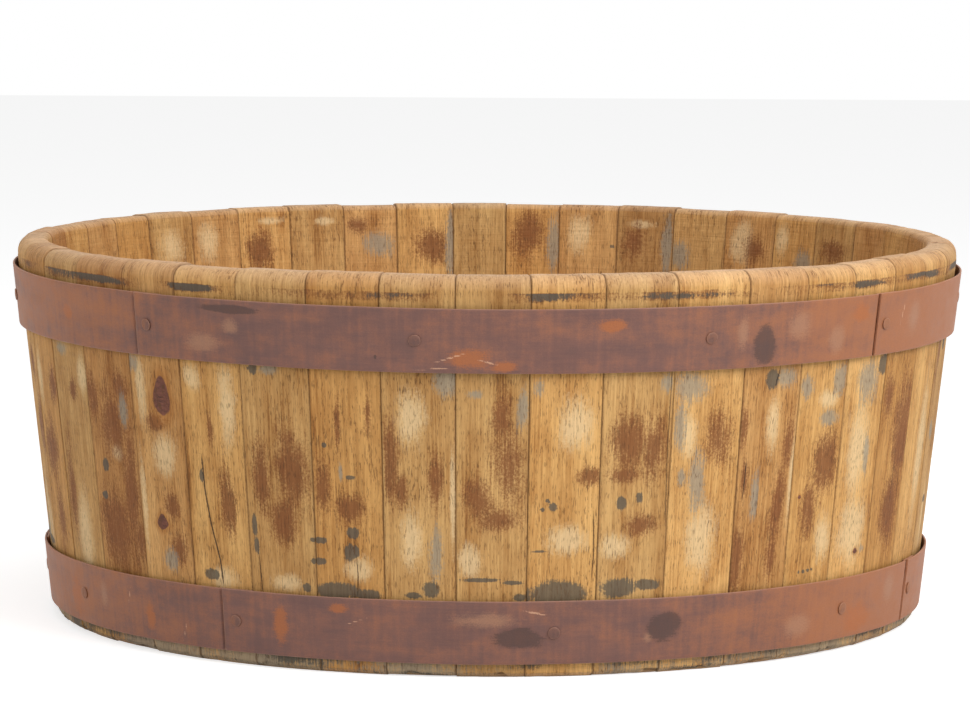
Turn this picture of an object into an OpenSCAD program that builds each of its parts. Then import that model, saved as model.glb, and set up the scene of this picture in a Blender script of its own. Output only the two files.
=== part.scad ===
// Round coopered wash tub: tapered staves, a jointed bottom head held in a croze
// groove, and two nailed iron hoops whose strips lap one another.
// Origin at the bottom centre, +Z up, -Y is the front. All sizes in mm.

/* [Tub] */
// Outside diameter at the rim, before its edges are rounded
rim_d = 800; // [600:1:1000]
// Outside diameter at the bottom
base_d = 731; // [540:1:900]
// Height of the staves
tub_h = 319; // [240:1:420]

/* [Staves] */
// Thickness of a stave, measured level
stave_t = 28; // [20:0.5:36]
// Open joint between two dry staves
stave_gap = 0.2; // [0:0.05:0.6]
// Radius of the worn outer edge of the rim
rim_round_out = 12; // [3:0.5:14]
// Radius of the worn inner edge of the rim
rim_round_in = 6; // [1:0.5:6]
// Chamfer on the outer foot of a stave
foot_chamfer = 3; // [0.5:0.5:6]
// Bevel on the inner foot of a stave
chime_bevel = 8; // [1:0.5:10]
// Azimuth of the first seam, where 0 is the front and the right side is positive
first_seam = -65.6; // [-90:0.1:0]

/* [Head] */
// Height of the croze groove above the ground
croze_z = 26; // [18:0.5:45]
// Width of the croze groove
croze_w = 9; // [6:0.5:12]
// Depth of the croze groove
croze_depth = 7; // [4:0.5:8]
// Clearance round the edge of the head in its groove
croze_clear = 0.3; // [0.1:0.05:0.6]
// Thickness of the head boards
head_t = 22; // [16:1:28]
// How far the bevel at the edge of the head runs in
head_bevel = 14; // [6:1:24]
// Number of boards in the head
head_boards = 6; // [4:1:6]
// Open joint between two head boards
board_gap = 0.2; // [0:0.05:0.6]
// Diameter of the dowels between head boards
dowel_d = 10; // [6:0.5:12]
// Length of the dowels
dowel_len = 44; // [24:1:60]
// Clearance round a dowel in its hole, and past each of its ends
dowel_clear = 0.1; // [0.05:0.05:0.3]

/* [Hoops] */
// Width of the hoop iron, along the slope of the wall
hoop_w = 50.8; // [30:0.1:64]
// Thickness of the hoop iron
hoop_t = 2; // [1:0.1:3]
// Height of the middle of the upper hoop
upper_hoop_z = 270.4; // [180:0.1:272]
// Height of the middle of the lower hoop
lower_hoop_z = 36.4; // [35:0.1:100]
// How far the upper hoop has tipped down at the front, in degrees
upper_tip_front = 0.46; // [0:0.02:0.6]
// How far the upper hoop has tipped down at the right, in degrees
upper_tip_right = 0.2; // [0:0.02:0.6]
// Clearance between the wall and the tucked end of a strip
hoop_seat = 0.3; // [0.2:0.05:1]
// Clearance between the two strips of a lap
lap_clear = 0.1; // [0.05:0.05:0.3]
// How far a strip runs on under the next one
lap_len = 28; // [20:1:45]
// Open joint at the edge of a lap
lap_joint = 0.4; // [0.2:0.1:1]
// Azimuth of the first lap of the upper hoop
upper_lap_az = -44.1; // [-90:0.1:0]
// Azimuth of the first lap of the lower hoop
lower_lap_az = -33.7; // [-90:0.1:0]
// Part of the circle that a long strip of the upper hoop covers, in degrees
upper_strip_turn = 95.5; // [85:0.5:105]
// Part of the circle that a long strip of the lower hoop covers, in degrees
lower_strip_turn = 101.5; // [85:0.5:105]

/* [Hoop nails] */
// Diameter of a nail's head
nail_head_d = 10; // [7:0.5:14]
// Thickness of a nail's head
nail_head_t = 1.4; // [0.8:0.1:2.5]
// Diameter of a nail's shank
nail_shank_d = 3.6; // [2.4:0.1:5]
// Length of a nail below its head
nail_len = 22; // [14:0.5:22]
// Length of a nail's point
nail_tip = 6; // [3:0.5:10]
// Clearance round the shank and under the head
nail_clear = 0.05; // [0.02:0.01:0.15]
// Distance from the edge of a lap to the nail that holds it
lap_nail_in = 12.5; // [8:0.5:18]
// Least distance from a nail between laps to the seams beside it
nail_seam_in = 13; // [4:0.5:15]
// Turn from a strip's edge to its second nail, upper hoop, in degrees
upper_nail_2 = 36.1; // [15:0.1:45]
// Turn from a strip's edge to its third nail, upper hoop, in degrees
upper_nail_3 = 70; // [50:0.1:80]
// Turn from a strip's edge to its second nail, lower hoop, in degrees
lower_nail_2 = 41.9; // [15:0.1:45]
// Turn from a strip's edge to its third nail, lower hoop, in degrees
lower_nail_3 = 84; // [50:0.1:80]

/* [Hidden] */
$fn = 96;
// Widths of the staves at the rim, going round from the first seam towards the right.
// They are as uneven as a cooper's stock, and the set is scaled to close the circle.
stave_widths = [
    64, 67, 59, 61, 62, 60, 60, 59, 59, 60, 64, 59, 56, 57,
    57, 64, 64, 64, 64, 65, 59, 61, 57, 60, 59, 60, 60, 54,
    53, 57, 55, 58, 59, 59, 60, 54, 57, 61, 61, 61, 61, 61,
];
stave_count = len(stave_widths);
seams = [for (i = 0, s = 0; i <= stave_count; s = s + (i < stave_count ? stave_widths[i] : 0), i = i + 1)
    first_seam + 360 * s / sum_of(stave_widths)];

rim_r = rim_d / 2;
base_r = base_d / 2;
wall_slope = (rim_r - base_r) / tub_h;
wall_angle = atan(wall_slope);
stave_gap_turn = stave_gap / rim_r * 180 / PI;
arc_steps = 6;

groove_r = wall_r(croze_z) - stave_t + croze_depth;
head_r = groove_r - croze_clear;
head_mid_z = croze_z + croze_w / 2;
head_low_z = head_mid_z - head_t / 2;
head_top_z = head_mid_z + head_t / 2;
tongue_t = croze_w - 2 * croze_clear;
tongue_in = 1;
board_w = 2 * head_r / head_boards;
// Where the three dowels of a joint lie, as shares of half the joint's length
dowel_shares = [-0.6, 0, 0.6];

UPPER = 1;
LOWER = 0;
strip_count = 4;
hoop_rise = hoop_w * cos(wall_angle);
step_len = 3;
// How far a cut runs past what it cuts
cut_over = 1;
// A tipped hoop needs this much more room, so that its tucked ends clear the wall
tip_turn = norm([upper_tip_front, upper_tip_right]);
tip_room = rim_r * sin(tip_turn) * wall_slope + hoop_rise / 2 * sin(tip_turn);

wood_tones = ["#c39a63", "#a97c4d", "#cfa76f", "#b58a58", "#9c7650"];
brown_tone = "#7d5236";
head_tones = ["#a98457", "#b8925f"];
iron_tones = ["#7b5348", "#8a5c4a"];
nail_tone = "#75503f";
dowel_tone = "#d2b48a";

function sum_of(v, i = 0) = i < len(v) ? v[i] + sum_of(v, i + 1) : 0;
function wall_r(z) = base_r + wall_slope * z;
function stave_name(i) = str("stave_", i < 9 ? "0" : "", i + 1);
function board_name(i) = str("head_board_", i + 1);
function strip_name(h, k) = str(h == UPPER ? "upper" : "lower", "_hoop_strip_", k + 1);

// Points of an arc about c, from angle a0 to a1
function arc(c, r, a0, a1) =
    [for (k = [0 : arc_steps]) let (a = a0 + (a1 - a0) * k / arc_steps) c + r * [cos(a), sin(a)]];

// Upright section of the wall: sloping sides, rounded rim, croze groove, bevelled foot
function wall_section() =
    let (
        out_c = [wall_r(tub_h - rim_round_out) - rim_round_out / cos(wall_angle), tub_h - rim_round_out],
        in_c = [wall_r(tub_h - rim_round_in) - stave_t + rim_round_in / cos(wall_angle), tub_h - rim_round_in],
        groove_top = croze_z + croze_w
    )
    concat(
        [[base_r - stave_t + chime_bevel, 0], [base_r - foot_chamfer, 0], [wall_r(foot_chamfer), foot_chamfer]],
        arc(out_c, rim_round_out, -wall_angle, 90),
        arc(in_c, rim_round_in, 90, 180 - wall_angle),
        [[wall_r(groove_top) - stave_t, groove_top], [groove_r, groove_top]],
        [[groove_r, croze_z], [wall_r(croze_z) - stave_t, croze_z]],
        [[wall_r(chime_bevel) - stave_t, chime_bevel]]
    );

// Section of the head: full thickness in the middle, bevelled to a tongue at the edge
function head_section() =
    let (low_r = wall_r(head_low_z) - stave_t, tongue_r = wall_r(croze_z) - stave_t - tongue_in)
    [
        [0, head_low_z], [low_r - head_bevel, head_low_z],
        [tongue_r, head_mid_z - tongue_t / 2], [head_r, head_mid_z - tongue_t / 2],
        [head_r, head_mid_z + tongue_t / 2], [tongue_r, head_mid_z + tongue_t / 2],
        [low_r - head_bevel, head_top_z], [0, head_top_z],
    ];

function hoop_z(h) = h == UPPER ? upper_hoop_z : lower_hoop_z;
function hoop_gap(h) = hoop_seat + hoop_t + lap_clear + (h == UPPER ? tip_room : 0);
function hoop_out_r(h) = wall_r(hoop_z(h)) + hoop_gap(h) + hoop_t;
function turn_of(h, mm) = mm / hoop_out_r(h) * 180 / PI;
function strip_az(h, k) =
    let (first = h == UPPER ? upper_lap_az : lower_lap_az, turn = h == UPPER ? upper_strip_turn : lower_strip_turn)
    k == strip_count ? first + 360 : first + k * turn;
// A long strip has two nails between its laps, and the short closing strip has one
function nail_turns(h, k) =
    k == strip_count - 1 ? [(strip_az(h, k + 1) - strip_az(h, k)) / 2]
    : h == UPPER ? [upper_nail_2, upper_nail_3]
    : [lower_nail_2, lower_nail_3];
// Azimuth az, moved off the seams of the stave that it falls on
function off_seams(h, az) =
    let (
        i = [for (n = [0 : stave_count - 1]) if ((az - seams[n] + 720) % 360 < seams[n + 1] - seams[n]) n][0],
        past = (az - seams[i] + 720) % 360,
        room = turn_of(h, nail_seam_in)
    )
    az - past + min(max(past, room), seams[i + 1] - seams[i] - room);
function nail_azimuths(h) =
    [for (k = [0 : strip_count - 1]) each concat(
        [strip_az(h, k) + turn_of(h, lap_nail_in)],
        [for (t = nail_turns(h, k)) off_seams(h, strip_az(h, k) + t)]
    )];
// True where a nail at azimuth az comes within a degree of stave i
function meets_stave(az, i) =
    let (past = (az - seams[i] + 720) % 360) past < seams[i + 1] - seams[i] + 1 || past > 359;

module hoop_frame(h) {
    translate([0, 0, hoop_z(h)])
        rotate(h == UPPER ? [upper_tip_front, upper_tip_right, 0] : [0, 0, 0])
            children();
}

// Part of a hoop between two azimuths, from depth in_t to depth out_t inside its outer face,
// and made wider by extra at both edges
module hoop_arc(h, az0, az1, in_t, out_t, extra = 0) {
    half = hoop_rise / 2 + extra;
    lean = wall_slope * half;
    mid = hoop_out_r(h);
    rotate([0, 0, az0 - 90])
        rotate_extrude(angle = az1 - az0)
            polygon([
                [mid - lean - in_t, -half], [mid - lean - out_t, -half],
                [mid + lean - out_t, half], [mid + lean - in_t, half],
            ]);
}

// Puts children on a hoop's outer face at azimuth az, with +Z pointing out of the wall
module on_hoop(h, az) {
    hoop_frame(h)
        rotate([0, 0, az - 90])
            translate([hoop_out_r(h), 0, 0])
                rotate([0, 90 + wall_angle, 0])
                    children();
}

module nail() {
    crown = nail_head_t / 2;
    translate([0, 0, nail_clear]) cylinder(d = nail_head_d, h = nail_head_t - crown);
    translate([0, 0, nail_clear + nail_head_t - crown])
        cylinder(d1 = nail_head_d, d2 = nail_head_d - 2 * crown, h = crown);
    translate([0, 0, nail_tip - nail_len]) cylinder(d = nail_shank_d, h = nail_len - nail_tip + nail_clear);
    translate([0, 0, -nail_len]) cylinder(d1 = nail_shank_d / 4, d2 = nail_shank_d, h = nail_tip);
}

module nail_hole() {
    translate([0, 0, -nail_len - nail_clear])
        cylinder(d = nail_shank_d + 2 * nail_clear, h = nail_len + 2 * nail_clear + hoop_t);
}

module stave(i) {
    color(i == 1 ? brown_tone : wood_tones[(i * 7) % len(wood_tones)])
        difference() {
            rotate([0, 0, seams[i] + stave_gap_turn / 2 - 90])
                rotate_extrude(angle = seams[i + 1] - seams[i] - stave_gap_turn)
                    polygon(wall_section());
            for (h = [LOWER, UPPER], az = nail_azimuths(h))
                if (meets_stave(az, i)) on_hoop(h, az) nail_hole();
        }
}

// One dowel or, grown by its clearance, its hole, for each place along joint k of the head
module joint_dowels(k, grow) {
    y = k * board_w - head_r;
    half_joint = sqrt(head_r * head_r - y * y);
    for (s = dowel_shares)
        translate([s * half_joint, y - dowel_len / 2 - grow, head_mid_z])
            rotate([-90, 0, 0]) cylinder(d = dowel_d + 2 * grow, h = dowel_len + 2 * grow);
}

module head_board(i) {
    color(head_tones[i % 2])
        difference() {
            intersection() {
                rotate_extrude() polygon(head_section());
                translate([-head_r, i * board_w - head_r + board_gap / 2, 0])
                    cube([2 * head_r, board_w - board_gap, head_top_z + head_t]);
            }
            if (i > 0) joint_dowels(i, dowel_clear);
            if (i < head_boards - 1) joint_dowels(i + 1, dowel_clear);
        }
}

module head_dowels() {
    color(dowel_tone)
        for (k = [1 : head_boards - 1]) joint_dowels(k, 0);
}

// A strip of hoop iron: its right end steps in and runs on under the next strip
module hoop_strip(h, k) {
    az0 = strip_az(h, k);
    az1 = strip_az(h, k + 1) - turn_of(h, lap_joint);
    step_az = az1 - turn_of(h, step_len);
    tuck_az = az1 + turn_of(h, lap_joint + lap_len);
    tuck_out = hoop_t + lap_clear;
    color(iron_tones[k % 2])
        difference() {
            hoop_frame(h) difference() {
                hoop_arc(h, az0, tuck_az, tuck_out + hoop_t, 0);
                hoop_arc(h, az0 - 1, step_az, tuck_out + hoop_t + cut_over, hoop_t, cut_over);
                hoop_arc(h, az1, tuck_az + 1, tuck_out, -cut_over, cut_over);
            }
            for (az = nail_azimuths(h))
                if ((az - az0 + 720) % 360 < tuck_az - az0) on_hoop(h, az) nail_hole();
        }
}

module hoop_nails(h) {
    color(nail_tone)
        for (az = nail_azimuths(h)) on_hoop(h, az) nail();
}

for (i = [0 : stave_count - 1])
    stave(i);
for (i = [0 : head_boards - 1])
    head_board(i);
head_dowels();
for (h = [UPPER, LOWER], k = [0 : strip_count - 1])
    hoop_strip(h, k);
hoop_nails(UPPER);  // upper_hoop_nails
hoop_nails(LOWER);  // lower_hoop_nails
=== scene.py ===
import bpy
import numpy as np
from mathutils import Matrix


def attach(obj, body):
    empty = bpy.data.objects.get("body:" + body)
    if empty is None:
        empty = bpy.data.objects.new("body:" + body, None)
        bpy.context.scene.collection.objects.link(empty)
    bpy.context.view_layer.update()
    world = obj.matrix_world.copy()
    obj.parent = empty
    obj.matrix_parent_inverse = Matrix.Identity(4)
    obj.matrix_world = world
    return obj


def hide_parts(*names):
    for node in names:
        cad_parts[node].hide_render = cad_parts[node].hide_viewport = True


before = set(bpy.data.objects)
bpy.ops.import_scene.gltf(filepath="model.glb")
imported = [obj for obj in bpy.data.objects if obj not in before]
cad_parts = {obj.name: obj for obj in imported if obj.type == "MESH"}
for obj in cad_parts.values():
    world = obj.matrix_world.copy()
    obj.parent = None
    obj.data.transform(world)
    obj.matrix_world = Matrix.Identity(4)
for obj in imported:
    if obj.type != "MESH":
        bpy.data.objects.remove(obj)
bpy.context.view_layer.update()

# An old round wash tub: coopered wooden staves, a jointed wooden head in its croze groove, and
# two nailed iron hoops whose strips lap one another. Sizes are in mm and go to metres at the end.
# Azimuth 0 is the front (-Y), and the right side (+X) is positive.

# ---- sizes of the tub, as in the CAD model ----
RIM_R, BASE_R, TUB_H = 400.0, 365.5, 319.0
STAVE_T, STAVE_GAP = 28.0, 0.2
RIM_ROUND_OUT, RIM_ROUND_IN = 12.0, 6.0
FOOT_CHAMFER, CHIME_BEVEL = 3.0, 8.0
FIRST_SEAM = -65.6
STAVE_WIDTHS = (
    64, 67, 59, 61, 62, 60, 60, 59, 59, 60, 64, 59, 56, 57,
    57, 64, 64, 64, 64, 65, 59, 61, 57, 60, 59, 60, 60, 54,
    53, 57, 55, 58, 59, 59, 60, 54, 57, 61, 61, 61, 61, 61,
)
CROZE_Z, CROZE_W, CROZE_DEPTH, CROZE_CLEAR = 26.0, 9.0, 7.0, 0.3
HEAD_T, HEAD_BEVEL, HEAD_BOARDS, BOARD_GAP, TONGUE_IN = 22.0, 14.0, 6, 0.2, 1.0
HOOP_W, HOOP_T, LAP_CLEAR, LAP_JOINT, LAP_LEN, STEP_LEN = 50.8, 2.0, 0.1, 0.4, 28.0, 3.0
NAIL_IN, NAIL_SEAM_IN = 12.5, 13.0
STRIP_COUNT = 4
HOOPS = {
    "upper": dict(z=270.4, gap=3.0, tip=(0.46, 0.2), first=-44.1, turn=95.5, nails=(36.1, 70.0)),
    "lower": dict(z=36.4, gap=2.4, tip=(0.0, 0.0), first=-33.7, turn=101.5, nails=(41.9, 84.0)),
}
SLOPE = (RIM_R - BASE_R) / TUB_H
WALL_ANGLE = np.arctan(SLOPE)
SEAMS = FIRST_SEAM + 360 * np.concatenate([[0], np.cumsum(STAVE_WIDTHS)]) / sum(STAVE_WIDTHS)
STAVES = len(STAVE_WIDTHS)


def wall_r(z):
    """Outer radius of the wall: the foot's radius plus the slope times the height."""
    return BASE_R + SLOPE * z


# ---- numpy noise ----
def lattice_noise(p, seed):
    """Value noise from -1 to 1: hashed numbers at whole points, blended by smoothed shares of the way."""
    cell = np.floor(p)
    part = p - cell
    part = part * part * (3 - 2 * part)
    cell = cell.astype(np.int64)
    total = np.zeros(p.shape[0])
    for dx in (0, 1):
        for dy in (0, 1):
            for dz in (0, 1):
                x, y, z = cell[:, 0] + dx, cell[:, 1] + dy, cell[:, 2] + dz
                h = (x * 374761393 + y * 668265263 + z * 2147483647 + seed * 974711) & 0xFFFFFFFF
                h = ((h ^ (h >> 13)) * 1274126177) & 0xFFFFFFFF
                h = (h ^ (h >> 16)) & 0xFFFFFFFF
                weight = (
                    (part[:, 0] if dx else 1 - part[:, 0])
                    * (part[:, 1] if dy else 1 - part[:, 1])
                    * (part[:, 2] if dz else 1 - part[:, 2])
                )
                total += weight * (h / 2147483647.5 - 1)
    return total


def cloud(x, y, z, seed, octaves=3):
    """Sum of lattice noises, each twice as fine and half as strong as the one before."""
    shape = np.broadcast(x, y, z).shape
    p = np.stack([np.broadcast_to(v, shape).ravel() for v in (x, y, z)], 1).astype(float)
    total = sum(lattice_noise(p * 2**k + 17.3 * k, seed + k) / 2**k for k in range(octaves))
    return (total / (2 - 0.5 ** (octaves - 1))).reshape(shape)


def smooth(a, b, v):
    """Smooth step from 0 at a to 1 at b."""
    t = np.clip((v - a) / (b - a), 0, 1)
    return t * t * (3 - 2 * t)


# ---- meshes ----
def solid(name, points_mm, quads, caps=(), fields=None):
    """A mesh piece from points in mm, faces with four corners and flat caps with many.

    fields holds named values for its points, one number or three for each."""
    mesh = bpy.data.meshes.new(name)
    points = np.asarray(points_mm, float).reshape(-1, 3) / 1000
    quads = np.asarray(quads, np.int32).reshape(-1, 4)
    loops = np.concatenate([quads.ravel()] + [np.asarray(c, np.int32) for c in caps])
    sizes = np.concatenate([np.full(len(quads), 4), [len(c) for c in caps]]).astype(np.int32)
    mesh.vertices.add(len(points))
    mesh.vertices.foreach_set("co", points.astype(np.float32).ravel())
    mesh.loops.add(len(loops))
    mesh.loops.foreach_set("vertex_index", loops)
    mesh.polygons.add(len(sizes))
    mesh.polygons.foreach_set("loop_start", np.concatenate([[0], np.cumsum(sizes)[:-1]]).astype(np.int32))
    flat = np.zeros(len(sizes), bool)
    flat[len(quads):] = True
    mesh.update(calc_edges=True)
    mesh.polygons.foreach_set("use_smooth", ~flat)
    for key, values in (fields or {}).items():
        values = np.asarray(values, np.float32)
        is_vector = values.ndim > 1 and values.shape[-1] == 3
        kind, slot = ("FLOAT_VECTOR", "vector") if is_vector else ("FLOAT", "value")
        mesh.attributes.new(key, kind, "POINT").data.foreach_set(slot, values.ravel())
    piece = bpy.data.objects.new(name, mesh)
    bpy.context.scene.collection.objects.link(piece)
    return piece


def tube_quads(rows, columns):
    """Faces of a grid whose rows close on themselves: row i, column j to the next of each."""
    i, j = np.meshgrid(np.arange(rows), np.arange(columns - 1), indexing="ij")
    near, far = i * columns + j, (i + 1) % rows * columns + j
    return np.stack([near, near + 1, far + 1, far], -1).reshape(-1, 4)


def dress(piece, material, slot, *nodes):
    """Gives a piece its material and its body, and hides the CAD nodes that it stands for; slot is not used.
    """
    piece.data.materials.append(material)
    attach(piece, "root")
    if nodes:
        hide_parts(*nodes)
    return piece


# ---- materials ----
def linear(colour):
    """sRGB hex to linear light, with full alpha."""
    parts = [int(colour[k : k + 2], 16) / 255 for k in (1, 3, 5)]
    return (*(c / 12.92 if c <= 0.04045 else ((c + 0.055) / 1.055) ** 2.4 for c in parts), 1.0)


def add(tree, kind, sockets=None, **settings):
    """Adds a shader node with its settings, and sets or links its sockets."""
    node = tree.nodes.new("ShaderNode" + kind)
    for key, value in settings.items():
        setattr(node, key, value)
    for key, value in (sockets or {}).items():
        if isinstance(value, bpy.types.NodeSocket):
            tree.links.new(value, node.inputs[key])
        else:
            node.inputs[key].default_value = value
    return node


def new_material(name):
    material = bpy.data.materials.new(name)
    material.use_nodes = True
    material.node_tree.nodes.clear()
    return material, material.node_tree


NOISE_LOW, NOISE_HIGH = 0.28, 0.72  # nearly all of a noise lies between these, and is spread to 0..1


def grain_noises(tree, place, scales):
    """One noise for each entry of scales: its size along x and y in mm, its detail and its roughness."""
    made = {}
    for key, (x, y, detail, rough) in scales.items():
        at = add(tree, "VectorMath", {0: place, 1: (1 / x, 1 / y, 1.0)}, operation="MULTIPLY")
        sockets = {"Vector": at.outputs[0], "Scale": 1.0, "Detail": detail, "Roughness": rough}
        noise = add(tree, "TexNoise", sockets)
        sockets = {"Value": noise.outputs[0], "From Min": NOISE_LOW, "From Max": NOISE_HIGH}
        made[key] = add(tree, "MapRange", sockets, clamp=False).outputs[0]
    return made


def weighted(tree, start, parts):
    """start plus the sum of each value times its weight."""
    total = start
    for value, weight in parts:
        total = add(tree, "Math", {0: value, 1: weight, 2: total}, operation="MULTIPLY_ADD").outputs[0]
    return total


def laid_over(tree, colour, top, amount, low, high, most=1.0, least=0.0, curve="SMOOTHSTEP"):
    """Lays the colour top over another: its share goes from least to most as amount goes from low to high."""
    sockets = {"Value": amount, "From Min": low, "From Max": high, "To Min": least, "To Max": most}
    share = add(tree, "MapRange", sockets, interpolation_type=curve).outputs[0]
    top = linear(top) if isinstance(top, str) else top
    return add(tree, "Mix", {0: share, 6: colour, 7: top}, data_type="RGBA").outputs[2]


MULTIPLIED = {"data_type": "RGBA", "blend_type": "MULTIPLY"}

# Old bare hardwood, sawn, planed and worn by water: open pores as short dark dashes, fine fibres
# along the grain, honey to straw heartwood, with rust-brown, grey and slate stains soaked into it.
WOOD_SCALES = {
    "figure": (15.0, 240.0, 3.0, 0.55),
    "blotch": (24.0, 44.0, 5.0, 0.62),
    "fibre": (1.5, 46.0, 3.0, 0.60),
    "pore": (0.95, 6.5, 2.0, 0.55),
    "speck": (1.7, 2.1, 2.0, 0.70),
    "saw": (70.0, 4.2, 2.0, 0.60),
}
# name, colour, weights of speck, blotch and fibre in its outline, start and end of its edge, strength
WOOD_STAINS = (
    ("pale", "#e8c998", 0.35, 0.55, 0.45, -0.10, 0.70, 0.75),
    ("brown", "#7f4c2a", 0.75, 0.60, 0.35, -0.10, 0.75, 0.85),
    ("grey", "#97907f", 0.45, 0.45, 0.60, -0.05, 0.60, 0.72),
    ("slate", "#575349", 0.25, 0.30, 0.30, 0.00, 0.28, 0.85),
)
# Relief in mm: pores and cracks go in, fibres and grit stand out, and the saw's marks ripple.
# BUMP_MM is one of those millimetres in the scene's metres.
WOOD_RELIEF = {"fibre": 0.16, "pore": -0.22, "speck": 0.07, "crack": -0.5, "saw": 0.30}
BUMP_MM = 0.001


def wood(name, straw, honey, umber, rough):
    material, tree = new_material(name)
    place = add(tree, "Attribute", attribute_name="grain_mm").outputs["Vector"]
    tint = add(tree, "Attribute", attribute_name="tint").outputs["Vector"]
    n = grain_noises(tree, place, WOOD_SCALES)
    share = weighted(tree, -0.45, [(n["figure"], 0.75), (n["blotch"], 0.65), (n["fibre"], 0.50)])
    colour = add(tree, "Mix", {0: share, 6: linear(straw), 7: linear(honey)}, data_type="RGBA").outputs[2]
    colour = laid_over(tree, colour, umber, share, 0.75, 1.35)
    colour = add(tree, "Mix", {0: 1.0, 6: colour, 7: tint}, **MULTIPLIED).outputs[2]

    # end grain at the rim and the foot: paler, pinkish, dotted instead of streaked
    ends = add(tree, "Attribute", attribute_name="end_grain").outputs["Fac"]
    dots = weighted(tree, 0.0, [(n["speck"], 0.55), (n["blotch"], 0.45)])
    crest = {0: dots, 6: linear("#dcb78f"), 7: linear("#ab8460")}
    crest = add(tree, "Mix", crest, data_type="RGBA").outputs[2]
    crest = add(tree, "Mix", {0: 0.5, 6: crest, 7: tint}, **MULTIPLIED).outputs[2]
    colour = add(tree, "Mix", {0: ends, 6: colour, 7: crest}, data_type="RGBA").outputs[2]

    for key, stain, by_speck, by_blotch, by_fibre, low, high, strength in WOOD_STAINS:
        field = add(tree, "Attribute", attribute_name=key).outputs["Fac"]
        start = add(tree, "Math", {0: field, 1: -(by_speck + by_blotch + by_fibre) / 2}, operation="ADD")
        parts = [(n["speck"], by_speck), (n["blotch"], by_blotch), (n["fibre"], by_fibre)]
        edge = weighted(tree, start.outputs[0], parts)
        colour = laid_over(tree, colour, stain, edge, low, high, strength)

    # knots: a dark reddish core with rings, and an orange halo
    knot = add(tree, "Attribute", attribute_name="knot").outputs["Fac"]
    ragged = weighted(tree, knot, [(n["speck"], 0.10), (n["blotch"], 0.12)])
    colour = laid_over(tree, colour, "#a5692f", ragged, -0.9, 0.1, 0.55)
    core = {0: n["speck"], 6: linear("#54342a"), 7: linear("#855443")}
    core = add(tree, "Mix", core, data_type="RGBA").outputs[2]
    colour = laid_over(tree, colour, core, ragged, 0.08, 0.20)

    # pores and fibres darken the wood along the grain, more in some places than in others
    sockets = {"Value": n["pore"], "From Min": 0.62, "From Max": 0.86}
    pores = add(tree, "MapRange", sockets, interpolation_type="SMOOTHSTEP").outputs[0]
    sockets = {"Value": n["blotch"], "From Min": 0.1, "From Max": 0.9, "To Min": 0.18, "To Max": 0.75}
    patchy = add(tree, "MapRange", sockets).outputs[0]
    pores = add(tree, "Math", {0: pores, 1: patchy}, operation="MULTIPLY").outputs[0]
    streak = add(tree, "MapRange", {"Value": n["fibre"], "To Min": 1.10, "To Max": 0.86}).outputs[0]
    colour = add(tree, "Mix", {0: 1.0, 6: colour, 7: streak}, **MULTIPLIED).outputs[2]
    colour = add(tree, "Mix", {0: pores, 6: colour, 7: linear("#5d3d22")}, data_type="RGBA").outputs[2]

    # hairline cracks: crack_mm is the distance to the crack's line and crack_w its width there
    line = add(tree, "Attribute", attribute_name="crack_mm").outputs["Fac"]
    wander = weighted(tree, line, [(n["speck"], 0.5)])
    wander = add(tree, "Math", {0: wander, 1: 0.25}, operation="SUBTRACT")
    far = add(tree, "Math", {0: wander.outputs[0]}, operation="ABSOLUTE").outputs[0]
    width = add(tree, "Attribute", attribute_name="crack_w").outputs["Fac"]
    inside = add(tree, "Math", {0: width, 1: far}, operation="SUBTRACT").outputs[0]
    sockets = {"Value": inside, "From Min": -0.25, "From Max": 0.35, "To Max": 0.9}
    crack = add(tree, "MapRange", sockets).outputs[0]
    colour = add(tree, "Mix", {0: crack, 6: colour, 7: linear("#33231a")}, data_type="RGBA").outputs[2]

    # dirt in the joints: edge_mm is the distance to the piece's nearest long edge
    edge = add(tree, "Attribute", attribute_name="edge_mm").outputs["Fac"]
    edge = weighted(tree, edge, [(n["speck"], 0.8), (n["blotch"], 0.8)])
    colour = laid_over(tree, colour, "#5a3f29", edge, 0.5, 2.2, 0.0, 0.6, "LINEAR")

    sawn = add(tree, "Attribute", attribute_name="sawn").outputs["Fac"]
    marks = add(tree, "Math", {0: n["saw"], 1: sawn}, operation="MULTIPLY").outputs[0]
    parts = {"fibre": n["fibre"], "pore": pores, "speck": n["speck"], "crack": crack, "saw": marks}
    height = weighted(tree, 0.0, [(value, WOOD_RELIEF[key]) for key, value in parts.items()])
    bump = add(tree, "Bump", {"Strength": 1.0, "Distance": BUMP_MM, "Height": height}).outputs[0]
    roughness = weighted(tree, rough, [(n["speck"], 0.12), (n["fibre"], 0.06)])
    sockets = {"Base Color": colour, "Roughness": roughness, "Normal": bump}
    shader = add(tree, "BsdfPrincipled", {**sockets, "IOR": 1.45, "Specular IOR Level": 0.3})
    add(tree, "OutputMaterial", {"Surface": shader.outputs[0]})
    return material


# Hot-rolled strip iron, rusted all over and rubbed smooth: a thin purple-brown oxide skin, orange
# where it is fresh, with grit, faint wipe marks along the strip and bare scratches.
# Its colour also holds painted light and shade: lighter and warmer towards the lit sides of the tub, and dark
# as shade on the faces towards the wall.
IRON_SCALES = {
    "cloud": (55.0, 24.0, 4.0, 0.60),
    "haze": (18.0, 12.0, 5.0, 0.65),
    "wipe": (34.0, 1.5, 2.0, 0.60),
    "drip": (5.0, 60.0, 2.0, 0.55),
    "grit": (1.3, 1.3, 3.0, 0.70),
}
# name, colour, start and end of its edge, strength
IRON_STAINS_AND_SHADE = (
    ("smear", "#a5785c", 0.5, 1.3, 0.65),
    ("orange", "#a8602f", 0.5, 1.1, 0.75),
    ("scratch", "#c8997a", 0.5, 0.85, 0.80),
    # dark: dark rust marks on the outer face, and painted shade on the faces towards the wall
    ("dark", "#46302a", 0.5, 0.85, 0.80),
)


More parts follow.
